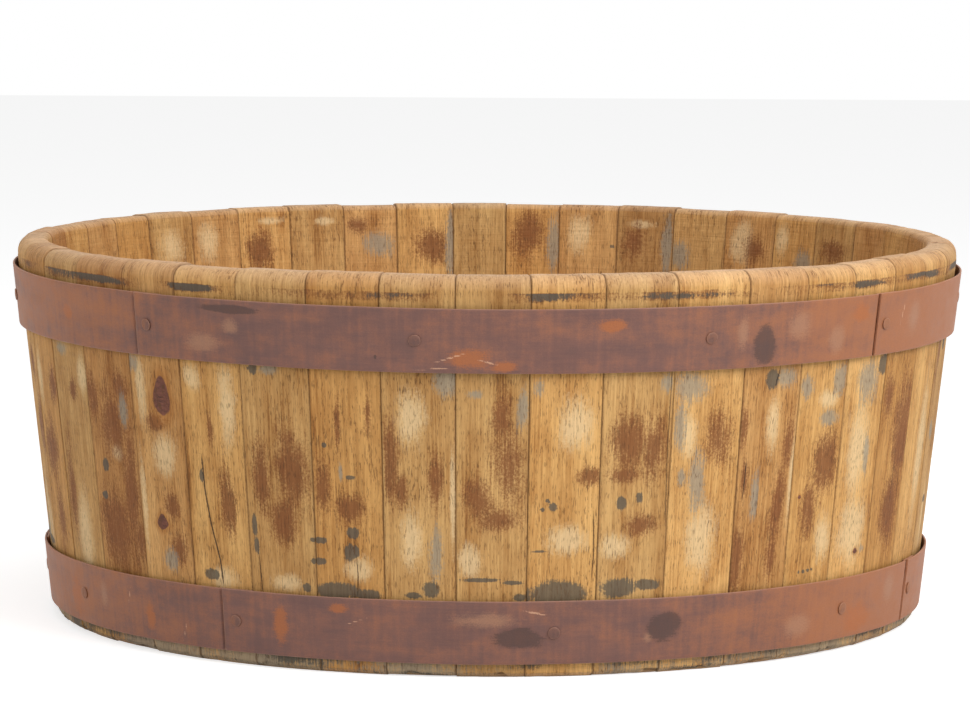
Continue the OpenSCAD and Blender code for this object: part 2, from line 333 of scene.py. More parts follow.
def rusted_iron(name, cool, mid, warm, rough):
    material, tree = new_material(name)
    place = add(tree, "Attribute", attribute_name="grain_mm").outputs["Vector"]
    n = grain_noises(tree, place, IRON_SCALES)
    parts = [(n["cloud"], 0.90), (n["haze"], 0.50), (n["wipe"], 0.30), (n["drip"], 0.35)]
    share = weighted(tree, -0.55, parts)
    colour = add(tree, "Mix", {0: share, 6: linear(cool), 7: linear(mid)}, data_type="RGBA").outputs[2]
    # the warm field is partly painted light: it lays the lighter orange over the rust towards the hoops'
    # sides, most on the right, where the key light falls
    field = add(tree, "Attribute", attribute_name="warm").outputs["Fac"]
    parts = [(n["cloud"], 0.45), (n["haze"], 0.35), (n["drip"], 0.25), (n["grit"], 0.15)]
    colour = laid_over(tree, colour, warm, weighted(tree, field, parts), 0.45, 1.55)
    for key, stain, low, high, strength in IRON_STAINS_AND_SHADE:
        mark = add(tree, "Attribute", attribute_name=key).outputs["Fac"]
        mark = weighted(tree, mark, [(n["grit"], 0.35), (n["haze"], 0.5), (n["wipe"], 0.2)])
        colour = laid_over(tree, colour, stain, mark, low, high, strength)
    grain = add(tree, "MapRange", {"Value": n["grit"], "To Min": 0.90, "To Max": 1.10}).outputs[0]
    colour = add(tree, "Mix", {0: 1.0, 6: colour, 7: grain}, **MULTIPLIED).outputs[2]
    edge = add(tree, "Attribute", attribute_name="edge_mm").outputs["Fac"]
    edge = weighted(tree, edge, [(n["grit"], 0.5), (n["haze"], 0.5)])
    colour = laid_over(tree, colour, "#b78a70", edge, 0.4, 1.3, 0.0, 0.55, "LINEAR")
    parts = [(n["grit"], 0.05), (n["haze"], 0.10), (n["wipe"], 0.03), (n["cloud"], 0.10)]
    height = weighted(tree, 0.0, parts)
    bump = add(tree, "Bump", {"Strength": 1.0, "Distance": BUMP_MM, "Height": height}).outputs[0]
    roughness = weighted(tree, rough, [(n["haze"], 0.12), (n["grit"], 0.08)])
    sockets = {"Base Color": colour, "Roughness": roughness, "Normal": bump, "IOR": 1.5}
    shader = add(tree, "BsdfPrincipled", sockets)
    add(tree, "OutputMaterial", {"Surface": shader.outputs[0]})
    return material


STAVE_WOOD = wood("sawn_worn_hardwood_staves", "#d0a468", "#a9773f", "#7c4e27", 0.62)
HEAD_WOOD = wood("damp_stained_hardwood_head", "#b08a58", "#86602f", "#5d3d22", 0.66)
HOOP_IRON = rusted_iron("rusted_strip_iron", "#674740", "#7f5548", "#a0643f", 0.50)
NAIL_IRON = rusted_iron("rusted_forged_nails", "#62433b", "#7b5142", "#96603f", 0.52)

# ---- marks on the staves ----
# A mark is (stave, place across it from -1 to 1, height, half width, half height, lean), in mm.
# Lean is how far it moves to the right over 100 mm of height.
OUTER_MARKS = {
    "brown": [
        (42, 0.7, 205, 13, 20, 0), (42, -0.2, 150, 22, 26, 0), (42, 0.1, 95, 16, 30, 0),
        (2, -0.75, 204, 12, 28, 0), (2, 0.47, 212, 14, 22, 0), (2, 0.0, 180, 26, 40, 0),
        (2, -0.16, 95, 30, 48, 0),
        (2, 0.6, 130, 14, 70, 0), (2, 0.82, 91, 12, 20, 0), (3, 0.33, 124, 11, 14, 0),
        (3, -0.1, 190, 14, 9, 0),
        (3, 0.5, 88, 12, 16, 0), (4, -0.1, 188, 3.5, 17, 0), (4, 0.35, 128, 9, 34, -4),
        (5, -0.5, 151, 10, 36, 0),
        (5, 0.41, 161, 18, 42, 0), (5, 0.06, 120, 17, 26, 0), (6, -0.72, 146, 9, 26, 0),
        (6, 0.62, 207, 4.5, 20, 3),
        (6, -0.24, 199, 2.8, 24, 1), (6, 0.1, 132, 16, 14, 0), (7, -0.78, 172, 8, 40, 2),
        (7, -0.5, 148, 5, 18, 0),
        (7, 0.45, 152, 7, 28, 0), (8, 0.23, 207, 10, 22, 0), (8, 0.44, 166, 15, 40, 0),
        (8, -0.33, 142, 16, 20, 0),
        (8, 0.2, 126, 24, 12, 0), (10, -0.2, 186, 20, 30, 0), (10, 0.5, 181, 14, 32, 0),
        (9, 0.75, 160, 16, 8, 0),
        (10, -0.3, 160, 20, 8, 0), (10, 0.2, 120, 18, 11, 0), (11, 0.35, 185, 16, 26, 0),
        (12, -0.88, 194, 6, 22, 0),
        (12, -0.75, 154, 4, 20, 0), (12, 0.72, 176, 8, 30, 6), (12, 0.55, 130, 9, 44, 5),
        (12, 0.42, 84, 7, 26, 4),
        (12, -0.85, 86, 8, 34, 0), (13, 0.36, 158, 17, 36, 0), (13, -0.2, 125, 12, 30, 0),
        (15, 0.6, 174, 24, 52, 0),
        (15, 0.2, 112, 20, 36, 0), (15, -0.6, 205, 10, 24, 0), (1, -0.6, 120, 9, 46, 0),
        (1, 0.1, 205, 9, 12, 0),
    ],
    "grey": [
        (1, -0.4, 238, 13, 7, 0), (3, -0.9, 236, 7, 9, 0), (3, 0.1, 78, 10, 12, 0),
        (6, -0.19, 161, 2, 9, 0),
        (8, 0.84, 214, 5.5, 20, 5), (8, -0.46, 225, 8, 4.5, 0), (7, 0.73, 236, 11, 17, 0),
        (7, 0.46, 100, 7, 28, 0),
        (11, -0.5, 228, 19, 16, 0), (11, -0.75, 196, 7, 26, 0), (10, 0.8, 232, 8, 10, 0),
        (11, -0.2, 152, 9, 30, 0),
        (11, -0.65, 157, 4, 8, 0), (12, 0.5, 231, 13, 10, 0), (12, -0.35, 136, 5, 24, 0),
        (13, -0.7, 221, 9, 12, 0),
        (13, 0.32, 195, 15, 8, 0), (13, 0.7, 225, 10, 16, 0), (14, 0.4, 159, 4.5, 24, 0),
        (14, 0.1, 222, 18, 22, 0),
        (14, 0.68, 82, 4.5, 4, 0), (5, -0.2, 240, 10, 6, 0), (9, -0.75, 230, 6, 9, 0),
        (2, 0.55, 196, 7, 16, 0),
    ],
    "slate": [
        (2, -0.47, 148, 5.5, 6.5, 0), (2, -0.62, 123, 5.5, 4, 0), (4, -0.5, 150, 2.6, 6.5, 0),
        (4, -0.38, 71, 8, 5, 0),
        (5, -0.81, 115, 3, 12, -2), (5, -0.78, 98, 3, 9, -2), (6, -0.86, 106, 7, 2.8, 0),
        (6, -0.86, 89, 6, 3.2, 0),
        (5, 0.93, 106, 3, 2.5, 0), (5, 0.94, 89, 3, 2.8, 0), (6, 0.12, 113, 5.5, 5, 0),
        (6, 0.02, 97, 5, 8, 6),
        (6, 0.2, 98, 3, 5, 0), (6, -0.63, 182, 2.6, 2.4, 0), (6, 0.09, 157, 4.5, 2.2, 0),
        (6, -0.45, 66, 26, 8, 0),
        (5, 0.7, 67, 4.5, 4.5, 0), (6, 0.5, 64, 14, 5, 0), (7, 0.31, 70, 8, 7, 0),
        (7, -0.2, 65, 8, 3, 0),
        (9, -0.3, 136, 4, 4.2, 0), (9, -0.6, 134, 2.4, 2, 0), (9, -0.45, 141, 2, 2, 0),
        (10, -0.36, 138, 5.8, 6.6, 0),
        (10, 0.16, 142, 3.8, 6, 0), (9, -0.67, 101, 8, 1.3, 0), (8, -0.3, 78, 20, 2, 0),
        (8, 0.6, 76, 10, 2, 0),
        (9, -0.1, 67, 29, 11, 0), (10, -0.35, 70, 20, 9.5, 0), (10, 0.45, 72, 13, 5, 0),
        (12, -0.02, 231, 7, 11, 3),
        (14, 0.85, 233, 9, 10, 0), (13, -0.35, 71, 1.8, 1.6, 0), (13, -0.15, 71, 2, 1.6, 0),
        (13, 0.05, 71.5, 2, 1.6, 0),
        (13, 0.22, 72, 1.8, 1.6, 0), (5, -0.62, 240, 5, 6, 0), (8, 0.8, 64, 6, 4, 0),
    ],
    "pale": [
        (7, 0.92, 138, 2.6, 52, 0), (7, -0.2, 108, 12, 26, 0), (2, 0.1, 160, 10, 9, 0),
        (1, -0.04, 84, 18, 46, 0),
        (1, 0.74, 218, 10, 20, 0), (3, 0.21, 164, 16, 20, 0), (3, -0.6, 215, 7, 30, 0),
        (4, 0.5, 210, 10, 40, 0),
        (4, 0.07, 68, 14, 12, 0), (4, -0.6, 228, 9, 14, 0), (5, 0.06, 70, 16, 9, 0),
        (14, -0.1, 165, 18, 44, 0),
        (14, 0.0, 98, 22, 34, 0), (11, 0.0, 106, 16, 34, 0), (11, -0.5, 190, 8, 24, 0),
        (9, 0.3, 199, 18, 26, 0),
        (9, 0.1, 110, 20, 14, 0), (8, -0.6, 92, 12, 16, 0), (6, 0.3, 84, 14, 12, 0),
        (10, -0.5, 104, 14, 12, 0),
        (13, 0.2, 210, 16, 10, 0), (13, 0.6, 98, 12, 26, 0), (16, 0.4, 150, 12, 70, 0),
        (42, -0.7, 210, 10, 30, 0),
        (12, 0.95, 150, 4, 50, 3), (7, -0.2, 205, 14, 24, 0), (3, -0.85, 120, 4, 50, 0),
        (12, 0.1, 195, 8, 24, 0),
    ],
    "knot": [
        (3, 0.22, 212, 9.5, 16, 0), (3, -0.14, 109, 6, 6.5, 0), (14, 0.35, 81, 3, 2.6, 0),
        (13, -0.62, 133, 1.8, 2, 0),
    ],
}
INNER_MARKS = {
    "brown": [
        (22, 0.0, 290, 22, 14, 0), (24, -0.3, 285, 18, 18, 0), (26, 0.4, 285, 16, 22, 0),
        (28, 0.1, 292, 20, 30, 0),
        (30, -0.2, 280, 20, 20, 0), (31, 0.5, 300, 14, 10, 0), (33, 0.2, 280, 18, 22, 0),
        (19, 0.2, 280, 20, 26, 0),
    ],
    "grey": [
        (28, -0.8, 285, 8, 34, 0), (26, -0.8, 282, 7, 30, 0), (30, -0.9, 280, 5, 40, 0),
        (25, 0.7, 276, 12, 16, 0),
        (31, -0.3, 282, 18, 14, 0), (23, -0.5, 276, 14, 12, 0),
    ],
    "slate": [(27, -0.85, 281, 3, 2.4, 0)],
    "pale": [
        (33, -0.2, 306, 14, 4, 0), (34, 0.3, 290, 14, 20, 0), (27, 0.3, 290, 14, 20, 0),
        (26, 0.2, 302, 16, 5, 0),
        (24, 0.3, 290, 15, 22, 0), (32, -0.3, 304, 12, 4, 0), (23, 0.6, 296, 10, 16, 0),
        (35, 0.0, 288, 18, 20, 0),
    ],
    "knot": [],
}
# A crack is (stave, half width of the dark line, then places (across, height) from its top to its end)
CRACKS = [
    (4, 0.75, (-0.45, 168), (-0.42, 140), (-0.28, 112), (-0.05, 84), (0.02, 62)),
    (5, 0.45, (-0.72, 92), (-0.68, 62), (-0.60, 58)),
    (12, 0.55, (0.22, 243), (0.20, 236), (0.12, 228), (0.10, 222)),
    (12, 0.50, (-0.72, 168), (-0.74, 150), (-0.78, 134)),
    (3, 0.35, (0.05, 211), (0.16, 210), (0.30, 211)),
    (9, 0.40, (0.86, 132), (0.90, 100), (0.86, 76)),
    (6, 0.40, (0.20, 96), (0.23, 80), (0.20, 62)),
    (10, 0.30, (0.92, 250), (0.90, 180), (0.95, 120)),
    (15, 0.35, (0.25, 150), (0.24, 128), (0.25, 110)),
]
# Tones of wood, as shares of the stave colour in red, green and blue
TONES = {
    "straw": (1.16, 1.13, 1.06), "honey": (1.0, 1.0, 1.0), "amber": (1.02, 0.93, 0.80),
    "tan": (1.04, 0.98, 0.96),
    "rust": (0.86, 0.74, 0.66), "grey": (0.95, 0.97, 0.98), "cream": (1.26, 1.26, 1.24),
    "umber": (0.80, 0.74, 0.70),
}
STAVE_TONES = (
    "honey", "rust", "tan", "straw", "honey", "amber", "honey", "honey", "straw", "honey", "cream",
    "tan", "straw", "cream", "amber", "straw", "honey", "tan", "amber", "straw", "tan", "honey",
    "straw", "tan", "honey", "umber", "tan", "amber", "grey", "straw", "tan", "honey", "cream",
    "tan", "honey", "amber", "tan", "straw", "rust", "honey", "straw", "amber",
)
FIELDS = ("brown", "grey", "slate", "pale", "knot")
NO_MARK = -2.0


def mark_field(kind, marks, stave, x, v, half, wobble):
    """How near each point is to the nearest mark of one kind.

    1 at a mark's middle, 0 on its outline and below that outside it, bent by a wobble."""
    field = np.full(x.shape, NO_MARK)
    for number, across, height, wide, high, lean in marks[kind]:
        if number == stave + 1:
            dx = (x - across * half - lean * (v - height) / 100) / wide
            dy = (v - height) / high
            if kind == "knot":  # a drop shape: narrower towards its top
                dx = dx * (1 + 0.45 * np.clip(dy, -0.3, 1.5))
            field = np.maximum(field, 1 - np.sqrt(dx * dx + dy * dy) * (1 + 0.22 * wobble))
    return field


# ---- the staves ----
OUTSIDE, CREST, INSIDE, GROOVE, FOOT = range(5)


def wall_profile():
    """Upright section of the wall as a closed line of (radius, height, face, end grain).

    It goes up the outside, over the rim, down the inside and back along the foot."""
    corners = []

    def line(a, b, step, face, ends):
        n = max(1, int(np.ceil(np.hypot(b[0] - a[0], b[1] - a[1]) / step)))
        t = np.arange(n) / n
        corners.extend([(a[0] + (b[0] - a[0]) * k, a[1] + (b[1] - a[1]) * k, face, ends) for k in t])

    def bend(c, radius, a0, a1, n, face, e0, e1):
        t = np.arange(n) / n
        angle = np.radians(a0 + (a1 - a0) * t)
        r, z = c[0] + radius * np.cos(angle), c[1] + radius * np.sin(angle)
        corners.extend(zip(r, z, [face] * n, e0 + (e1 - e0) * t))

    tilt = np.degrees(WALL_ANGLE)
    lean = np.cos(WALL_ANGLE)
    square = np.array([np.cos(WALL_ANGLE), -np.sin(WALL_ANGLE)])  # square to the wall, outward
    out_c = (wall_r(TUB_H - RIM_ROUND_OUT) - RIM_ROUND_OUT / lean, TUB_H - RIM_ROUND_OUT)
    in_c = (wall_r(TUB_H - RIM_ROUND_IN) - STAVE_T + RIM_ROUND_IN / lean, TUB_H - RIM_ROUND_IN)
    groove_r = wall_r(CROZE_Z) - STAVE_T + CROZE_DEPTH
    top_z = CROZE_Z + CROZE_W
    foot, foot_top = (BASE_R - FOOT_CHAMFER, 0), (wall_r(FOOT_CHAMFER), FOOT_CHAMFER)
    groove_top, groove_foot = (wall_r(top_z) - STAVE_T, top_z), (wall_r(CROZE_Z) - STAVE_T, CROZE_Z)
    bevel_top = (wall_r(CHIME_BEVEL) - STAVE_T, CHIME_BEVEL)
    bevel_foot = (BASE_R - STAVE_T + CHIME_BEVEL, 0)
    line(foot, foot_top, 1.0, OUTSIDE, 0.6)
    line(foot_top, out_c + RIM_ROUND_OUT * square, 1.7, OUTSIDE, 0)
    bend(out_c, RIM_ROUND_OUT, -tilt, 90, 18, CREST, 0, 1)
    line((out_c[0], TUB_H), (in_c[0], TUB_H), 1.2, CREST, 1)
    bend(in_c, RIM_ROUND_IN, 90, 180 - tilt, 10, CREST, 1, 0.2)
    line(in_c - RIM_ROUND_IN * square, groove_top, 2.6, INSIDE, 0)
    line(groove_top, (groove_r, top_z), 3.6, GROOVE, 0)
    line((groove_r, top_z), (groove_r, CROZE_Z), 4.6, GROOVE, 0)
    line((groove_r, CROZE_Z), groove_foot, 3.6, GROOVE, 0)
    line(groove_foot, bevel_top, 3.0, GROOVE, 0)
    line(bevel_top, bevel_foot, 3.0, FOOT, 0.6)
    line(bevel_foot, foot, 2.2, FOOT, 1)
    return np.array(corners, float)


# The section's columns, the distance walked along it, and the way that each point faces
PROFILE = wall_profile()
RADIUS, HEIGHT, FACE, END_GRAIN = (PROFILE[:, k][:, None] for k in range(4))
OUTER, RIM, INNER = FACE == OUTSIDE, FACE == CREST, FACE == INSIDE
WALKED = np.hypot(*(PROFILE[:, :2] - np.roll(PROFILE[:, :2], 1, 0)).T)
WALKED[0] = 0
WALKED = np.cumsum(WALKED)[:, None]
TANGENT = np.roll(PROFILE[:, :2], -1, 0) - np.roll(PROFILE[:, :2], 1, 0)
TANGENT /= np.linalg.norm(TANGENT, axis=1, keepdims=True)
NORMAL_R, NORMAL_Z = TANGENT[:, 1][:, None], -TANGENT[:, 0][:, None]

# Distances of the first columns from a stave's edge, and the step of the others
EDGE_STEPS = np.array([0, 0.2, 0.5, 0.9, 1.5, 2.4, 3.6])
COLUMN_STEP = 2.0
FLAT_OUT, FLAT_IN = 0.45, 0.1  # how much of its curve across a stave has lost outside and inside
WEAR_BROAD, WEAR_FINE, WEAR_RIM = 0.22, 0.09, 0.35
EDGE_ROUND, EDGE_ROUND_MORE, RIM_EDGE_ROUND = 0.55, 0.45, 0.5
CHIP_DEPTH, CHIP_START, CHIP_H = 5.0, 0.15, 14
RIM_WEAR_Z, FOOT_WEAR_Z, FOOT_WEAR = 285, 20, 0.5
rng = np.random.default_rng(1907)
STAVE_PROUD = rng.uniform(0.0, 0.55, STAVES)
STAVE_LOW = rng.uniform(0.0, 1.3, STAVES)
STAVE_LIFT = rng.uniform(0.0, 0.7, STAVES)
STAVE_LIFT[::5] = 0.0

# Chance marks: kind, the most on one stave, and ranges of half width and half height
CHANCE_MARKS = (
    ("brown", 4, (6, 20), (14, 46)),
    ("pale", 3, (6, 16), (14, 44)),
    ("grey", 2, (5, 14), (8, 26)),
    ("slate", 2, (2.5, 8), (2, 7)),
)
KNOT_CHANCE, FOOT_STAIN_CHANCE, FOOT_STAIN_Z = 0.2, 0.4, 66


def some_marks(stave, rng):
    """A few chance marks for a stave that the list above leaves bare."""
    made = {kind: [] for kind in FIELDS}
    for kind, most, wide, high in CHANCE_MARKS:
        for _ in range(rng.integers(1, most + 1)):
            across, level = rng.uniform(-0.9, 0.9), rng.uniform(60, 245)
            made[kind].append((stave + 1, across, level, rng.uniform(*wide), rng.uniform(*high), 0))
    if rng.random() < KNOT_CHANCE:
        across, level = rng.uniform(-0.4, 0.4), rng.uniform(90, 220)
        made["knot"].append((stave + 1, across, level, rng.uniform(4, 8), rng.uniform(6, 12), 0))
    if rng.random() < FOOT_STAIN_CHANCE:
        across = rng.uniform(-0.4, 0.4)
        foot_stain = (stave + 1, across, FOOT_STAIN_Z, rng.uniform(12, 26), rng.uniform(4, 9), 0)
        made["slate"].append(foot_stain)
    return made


def stave_surface(i, c, x, half, edge, v):
    """Radius and height of stave i's points: the section, moved in by flatness, wear and rounded edges."""
    sagitta = half * half / 2 / RADIUS
    flat = (np.where(OUTER, FLAT_OUT, 0) + np.where(INNER, FLAT_IN, 0)) * sagitta * (1 - c * c)
    wear = WEAR_BROAD * (1 + cloud(x / 26, v / 40, i * 3.7, 11))
    wear = wear + WEAR_FINE * (1 + cloud(x / 6, v / 9, i * 3.7, 12))
    wear = wear + np.where(RIM, WEAR_RIM * (1 + cloud(x / 16, v / 9, i * 3.7, 13)), 0)
    side = np.where(c < 0, i, (i + 1) % STAVES)
    round_r = EDGE_ROUND + EDGE_ROUND_MORE * (1 + cloud(side * 9.1, v / 45, 0 * c, 14, 2))
    round_r = round_r + np.where(RIM, RIM_EDGE_ROUND, 0)
    near = np.clip(edge / round_r, 0, 1)
    rounding = round_r * (1 - np.sqrt(1 - (1 - near) ** 2))
    inward = np.where(OUTER | RIM | INNER, flat + wear + STAVE_PROUD[i] + rounding, 0)
    chips = np.clip(cloud(x / 9, HEIGHT / 7, i * 5.1, 15) - CHIP_START, 0, 1) * CHIP_DEPTH
    inward = inward + np.where(OUTER, chips * smooth(CHIP_H, 0, HEIGHT), 0)
    r = RADIUS - inward * NORMAL_R
    z = HEIGHT - inward * NORMAL_Z
    z = z - STAVE_LOW[i] * smooth(RIM_WEAR_Z, TUB_H, HEIGHT) * (1 + 0.3 * c * np.sin(i * 2.3))
    lifted = STAVE_LIFT[i] + FOOT_WEAR * np.clip(cloud(x / 14, 0 * c, i * 2.9, 16), 0, 1)
    return r, z + lifted * smooth(FOOT_WEAR_Z, 0, HEIGHT)


def stave_stains(i, marks, x, half, v, turn):
    """Stains of stave i: its marks, faint clouds all over, and the dirt at the foot and under the rim."""
    level = HEIGHT + 0 * x
    wobble = cloud(x / 9, v / 9, i * 7.7, 17)
    everywhere = {
        "brown": 0.75 * cloud(x / 13, v / 55, i * 4.1, 21) - 0.62,
        "pale": 0.75 * cloud(x / 11, v / 60, i * 4.1, 22) - 0.62,
        "grey": 0.75 * cloud(x / 15, v / 30, i * 4.1, 23) - 0.72,
    }
    fields = {}
    for kind in FIELDS:
        outside = mark_field(kind, marks, i, x, level, half, wobble)
        inside = mark_field(kind, INNER_MARKS, i, x, level, half, wobble)
        field = np.where(OUTER, outside, np.where(INNER, inside, NO_MARK))
        fields[kind] = np.maximum(field, everywhere.get(kind, NO_MARK))

    # the foot below the lower hoop is grey and dirty in most places
    foot = smooth(24, 10, HEIGHT) * np.where(OUTER, 1, 0.0)
    # the band above the upper hoop has dark patches under the rim's rounding
    band = smooth(296, 301, HEIGHT) * smooth(312, 306, HEIGHT) * OUTER
    patches = 1.3 * cloud(turn * 8, v / 8, 0, 26) + 0.1
    grey_foot = foot * (0.35 + 0.9 * cloud(turn * 6, v / 30, 0, 24))
    dark_foot = foot * (0.9 * cloud(turn * 9, v / 12, 0, 25) - 0.12)
    for kind, where, field in (
        ("grey", foot > 0, grey_foot),
        ("slate", foot > 0, dark_foot),
        ("slate", band > 0.05, band * patches - 0.15),
        ("brown", band > 0.05, band * (patches + 0.25)),
    ):
        fields[kind] = np.maximum(fields[kind], np.where(where, field, NO_MARK))
    return fields


def stave_grain(i, knots, x, half, v):
    """Grain coordinates in mm: the way across and along the stave, spread apart round its knots."""
    across = x.copy()
    for number, place, level, wide, high, _ in knots:
        if number == i + 1:
            dx, dy = (x - place * half) / wide, (HEIGHT - level) / high
            pull = 0.85 * np.exp(-0.5 * (dx * dx + dy * dy / 2.2)) * OUTER
            across = across - pull * (x - place * half)
    return np.stack([across + 0 * v, v, np.full(v.shape, i * 13.7)], -1)


def stave_cracks(i, x, half):
    """Distance to the nearest crack of stave i, and its half width there, which fades out at its ends."""
    crack_mm, crack_w = np.full(x.shape, 9.0), np.zeros(x.shape)
    level = HEIGHT + 0 * x
    for number, wide, *path in CRACKS:
        if number != i + 1:
            continue
        way = np.array(sorted(path, key=lambda p: p[1]))
        if np.ptp(way[:, 1]) > 3:
            away = x - np.interp(level, way[:, 1], way[:, 0]) * half
            low, high = way[0, 1], way[-1, 1]
            shown = smooth(low - 1, low + 8, level) * smooth(high + 1, high - 8, level)
        else:  # a level crack, across the stave
            way = np.array(sorted(path))
            share = x / half
            away = level - np.interp(share, way[:, 0], way[:, 1])
            low, high = way[0, 0], way[-1, 0]
            shown = smooth(low, low + 0.05, share) * smooth(high, high - 0.05, share)
        nearer = (np.abs(away) < np.abs(crack_mm)) & OUTER & (shown > 0)
        crack_mm = np.where(nearer, away, crack_mm)
        crack_w = np.where(nearer, wide * shown, crack_w)
    return crack_mm, crack_w


def at_points(fields, shape):
    """Spreads each field over a grid of points and lists it point by point."""
    return {k: np.broadcast_to(a, shape + a.shape[2:]).reshape(-1, *a.shape[2:]) for k, a in fields.items()}


def make_stave(i, rng):
    """Stave i: the wall's section at each azimuth between its two seams, with its fields."""
    middle = (SEAMS[i] + SEAMS[i + 1]) / 2
    half_turn = np.radians((SEAMS[i + 1] - SEAMS[i]) / 2) - STAVE_GAP / RIM_R / 2
    half_rim = half_turn * RIM_R
    count = int((half_rim - EDGE_STEPS[-1]) / COLUMN_STEP) + 1
    from_edge = np.concatenate([EDGE_STEPS, np.linspace(EDGE_STEPS[-1], half_rim, count)[1:]])
    c = 1 - from_edge / half_rim
    c = np.concatenate([-c, c[-2::-1]])[None, :]  # place across the stave, from -1 to 1
    half = half_turn * RADIUS
    x = c * half
    edge = (1 - np.abs(c)) * half
    v = WALKED + 0 * c
    turn = np.radians(middle) + c * half_turn
    r, z = stave_surface(i, c, x, half, edge, v)
    points = np.stack([r * np.sin(turn), -r * np.cos(turn), z], -1)

    known = any(m[0] == i + 1 for group in OUTER_MARKS.values() for m in group)
    marks = OUTER_MARKS if known else some_marks(i, rng)
    crack_mm, crack_w = stave_cracks(i, x, half)
    drift = 1 + 0.05 * cloud(0 * c, v / 90, i * 6.3, 27)[..., None]
    fields = {
        "grain_mm": stave_grain(i, marks["knot"], x, half, v),
        "tint": np.array(TONES[STAVE_TONES[i]])[None, None, :] * drift,
        "end_grain": END_GRAIN + 0 * c,
        "edge_mm": edge,
        "sawn": np.where(INNER, 1.0, 0.12) + 0 * c,
        "crack_mm": crack_mm,
        "crack_w": crack_w,
        **stave_stains(i, marks, x, half, v, turn),
    }
    rows, columns = v.shape
    first = np.arange(rows)[::-1] * columns
    last = np.arange(rows) * columns + columns - 1
    faces = tube_quads(rows, columns)[:, ::-1]
    name = f"worn_stave_{i + 1:02d}"
    piece = solid(name, points, faces, (last[::-1], first[::-1]), at_points(fields, v.shape))
    return dress(piece, STAVE_WOOD, "stave_wood", f"stave_{i + 1:02d}")


for number in range(STAVES):
    make_stave(number, rng)


# ---- the head ----
BOARD_EASE, BOARD_WEAR, DAMP_W = 1.6, 0.25, 60
BOARD_EDGE_STEPS = np.array([0, 0.3, 0.8, 1.6, 3.0])
BOARD_INSET, BOARD_ROWS, BOARD_COLUMNS = 6, 42, 151
BOARD_TONES = ("honey", "tan", "umber", "honey", "amber", "tan")


def make_board(k):
    """Board k of the head: its top and bottom are the head's section by distance from the axis.

    It is cut between two chords. x = u * sqrt(R^2 - y^2), with u from -1 to 1."""
    head_r = wall_r(CROZE_Z) - STAVE_T + CROZE_DEPTH - CROZE_CLEAR
    mid_z = CROZE_Z + CROZE_W / 2
    low_r = wall_r(mid_z - HEAD_T / 2) - STAVE_T
    tongue_r = wall_r(CROZE_Z) - STAVE_T - TONGUE_IN
    full, tongue = HEAD_T / 2, CROZE_W / 2 - CROZE_CLEAR
    board_w = 2 * head_r / HEAD_BOARDS
    y0, y1 = k * board_w - head_r + BOARD_GAP / 2, (k + 1) * board_w - head_r - BOARD_GAP / 2
    middle = np.linspace(y0 + BOARD_INSET, y1 - BOARD_INSET, BOARD_ROWS)
    y = np.concatenate([y0 + BOARD_EDGE_STEPS, middle, (y1 - BOARD_EDGE_STEPS)[::-1]])[:, None]
    u = np.sin(np.linspace(-np.pi / 2, np.pi / 2, BOARD_COLUMNS))[None, :]
    x = u * np.sqrt(np.maximum(head_r**2 - y * y, 1.0))
    far = np.hypot(x, y)
    thick = np.interp(far, [0, low_r - HEAD_BEVEL, tongue_r, head_r + 1], [full, full, tongue, tongue])
    edge = np.minimum(y - y0, y1 - y) + 0 * x
    near = np.clip(edge / BOARD_EASE, 0, 1)
    open_face = smooth(tongue + 1, full, thick)
    easing = BOARD_EASE * (1 - np.sqrt(1 - (1 - near) ** 2)) * open_face
    wear = BOARD_WEAR * (1 + cloud(x / 60, y / 20, k * 5.5, 31)) * open_face
    top = mid_z + thick - easing - wear
    bottom = mid_z - thick + easing + wear
    over, under = np.stack([x, y + 0 * x, top], -1), np.stack([x, y + 0 * x, bottom], -1)
    points = np.concatenate([over, under[::-1]])
    rows, columns = points.shape[:2]
    j = np.arange(rows // 2 - 1)
    ends = []
    for c in (0, columns - 1):
        corners = (j * columns, (j + 1) * columns, (rows - 2 - j) * columns, (rows - 1 - j) * columns)
        ends.append(np.stack(corners, -1) + c)
    ends[1] = ends[1][:, ::-1]
    across = np.concatenate([y + 0 * x, (y + 0 * x)[::-1]])
    along = np.concatenate([x, x[::-1] + 900])
    shape = along.shape
    damp = smooth(low_r - DAMP_W, low_r - 4, np.concatenate([far, far[::-1]]))
    fields = {
        "grain_mm": np.stack([across, along, np.full(shape, 400 + k * 11.3)], -1),
        "tint": np.ones(shape + (3,)) * np.array(TONES[BOARD_TONES[k]]),
        "end_grain": np.zeros(shape),
        "edge_mm": np.concatenate([edge, edge[::-1]]),
        "sawn": np.full(shape, 0.2),
        "crack_mm": np.full(shape, 9.0),
        "crack_w": np.zeros(shape),
        "brown": 0.9 * cloud(along / 90, across / 22, k * 4.4, 32) - 0.25,
        "grey": 0.9 * cloud(along / 120, across / 30, k * 4.4, 33) - 0.45,
        "slate": np.maximum(damp * 0.9 * cloud(along / 30, across / 30, 1.0, 34) + damp * 0.35 - 0.4, -1),
        "pale": 0.9 * cloud(along / 110, across / 18, k * 4.4, 35) - 0.6,
        "knot": np.full(shape, NO_MARK),
    }
    faces = np.concatenate([tube_quads(rows, columns), *ends])
    piece = solid(f"worn_head_board_{k + 1}", points, faces, (), at_points(fields, shape))
    return dress(piece, HEAD_WOOD, "head_wood", f"head_board_{k + 1}")


for number in range(HEAD_BOARDS):
    make_board(number)


# ---- the hoops ----
def hoop_out_r(h):
    return wall_r(h["z"]) + h["gap"] + HOOP_T


def turn_of(h, mm):
    """Degrees round the hoop for a length in mm."""
    return np.degrees(mm / hoop_out_r(h))


def strip_az(h, k):
    return h["first"] + (360 if k == STRIP_COUNT else k * h["turn"])


